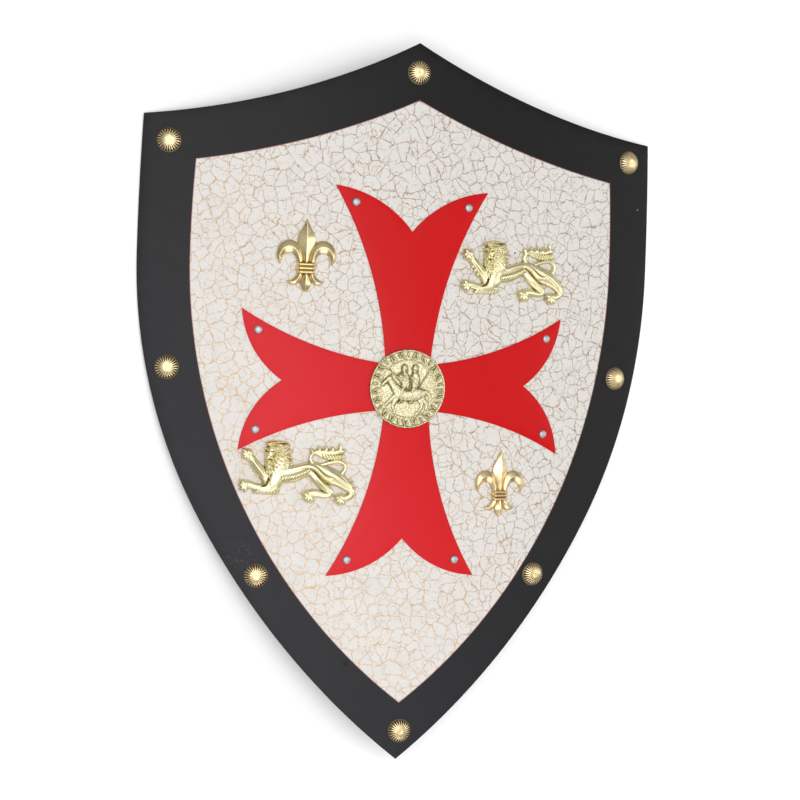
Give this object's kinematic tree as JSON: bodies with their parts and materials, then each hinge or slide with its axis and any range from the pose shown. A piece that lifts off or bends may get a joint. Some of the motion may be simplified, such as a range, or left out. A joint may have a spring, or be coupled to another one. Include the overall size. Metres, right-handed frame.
{
  "type": "medieval shield",
  "caption": "Curved sheet-metal heater shield with a black border, a red cross riveted over a crackled white field, and gilt studs, lions, lilies and a seal.",
  "frame": {"origin": "middle of the shield's plan, on the surface that it lies on, face up", "axes": "+Y to the peak, +X to the right of the face as seen, +Z out of the face"},
  "size_m": [0.542, 0.72, 0.0455],
  "materials": {
    "board_paint": "satin black with a crackled ivory field painted on it",
    "cross_paint": "satin red",
    "rivet_metal": "bright",
    "stud_gilt": "antique gold, dark in the flutes",
    "casting_gilt": "polished pale gold"
  },
  "bodies": {
    "root": {"shield_board": "board_paint", "cross_plate": "cross_paint", "cross_rivet_top_left": "rivet_metal", "cross_rivet_top_right": "rivet_metal", "cross_rivet_bottom_left": "rivet_metal", "cross_rivet_bottom_right": "rivet_metal", "cross_rivet_left_upper": "rivet_metal", "cross_rivet_left_lower": "rivet_metal", "cross_rivet_right_upper": "rivet_metal", "cross_rivet_right_lower": "rivet_metal", "border_stud_peak": "stud_gilt", "border_stud_tip": "stud_gilt", "border_stud_corner_left": "stud_gilt", "border_stud_corner_right": "stud_gilt", "border_stud_middle_left": "stud_gilt", "border_stud_middle_right": "stud_gilt", "border_stud_lower_left": "stud_gilt", "border_stud_lower_right": "stud_gilt", "medallion": "casting_gilt", "lion_upper_right": "casting_gilt", "lion_lower_left": "casting_gilt", "fleur_upper_left": "casting_gilt", "fleur_lower_right": "casting_gilt"}
  },
  "joints": []
}
